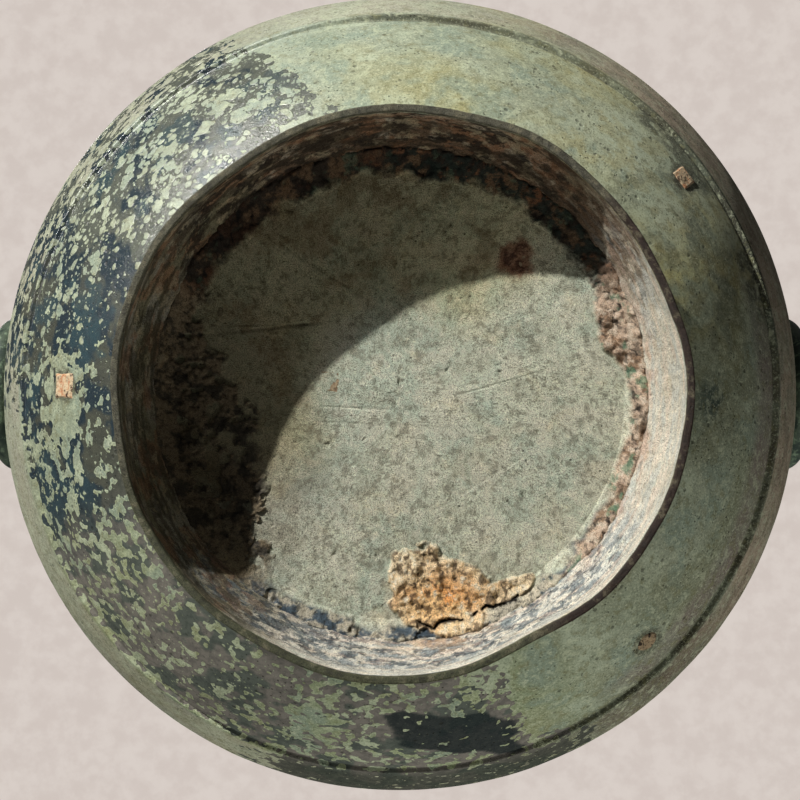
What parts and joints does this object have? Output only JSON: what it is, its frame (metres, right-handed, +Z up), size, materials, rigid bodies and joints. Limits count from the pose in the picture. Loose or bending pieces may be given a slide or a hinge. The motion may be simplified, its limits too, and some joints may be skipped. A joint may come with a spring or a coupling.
{
  "type": "bronze hu vessel",
  "caption": "Footed round-bellied storage vessel with a waisted neck, raised bands, mask escutcheons and loose ring handles.",
  "frame": {"origin": "centre of the rim that the foot stands on, with the vessel upright", "axes": "+Z up along the vessel's axis; the two masks and ring handles are at +X and -X"},
  "size_m": [0.3214, 0.3032, 0.3963],
  "materials": {
    "patinated_bronze": "green patina over bronze, part matte and part waxy",
    "dark_bronze": "dark green-black patina",
    "foot_bronze": "pale crusted patina with a worn dark rim",
    "solder_crust": "lead and tin solder under ochre and brown crust",
    "spacer_bronze": "dull orange and cream",
    "spacer_red": "dull dark red"
  },
  "bodies": {
    "vessel": {"vessel_body": "patinated_bronze", "foot_ring": "foot_bronze", "foot_solder_run": "solder_crust", "right_mask": "dark_bronze", "left_mask": "dark_bronze", "right_spacer": "spacer_bronze", "back_spacer": "spacer_bronze", "front_spacer": "spacer_bronze", "upper_front_spacer": "spacer_bronze", "upper_back_spacer": "spacer_bronze", "upper_left_spacer": "spacer_bronze", "round_base_spacer": "spacer_red", "square_base_spacer": "spacer_bronze"},
    "right_ring": {"right_ring": "dark_bronze"},
    "left_ring": {"left_ring": "dark_bronze"}
  },
  "joints": [
    {"name": "right_ring_swing", "type": "hinge", "parent": "vessel", "child": "right_ring", "pos_m": [0.14922, 0, 0.21012], "axis": [0, -1, 0], "range_deg": [0, 165]},
    {"name": "left_ring_swing", "type": "hinge", "parent": "vessel", "child": "left_ring", "pos_m": [-0.14922, 0, 0.21012], "axis": [0, 1, 0], "range_deg": [0, 165]}
  ]
}
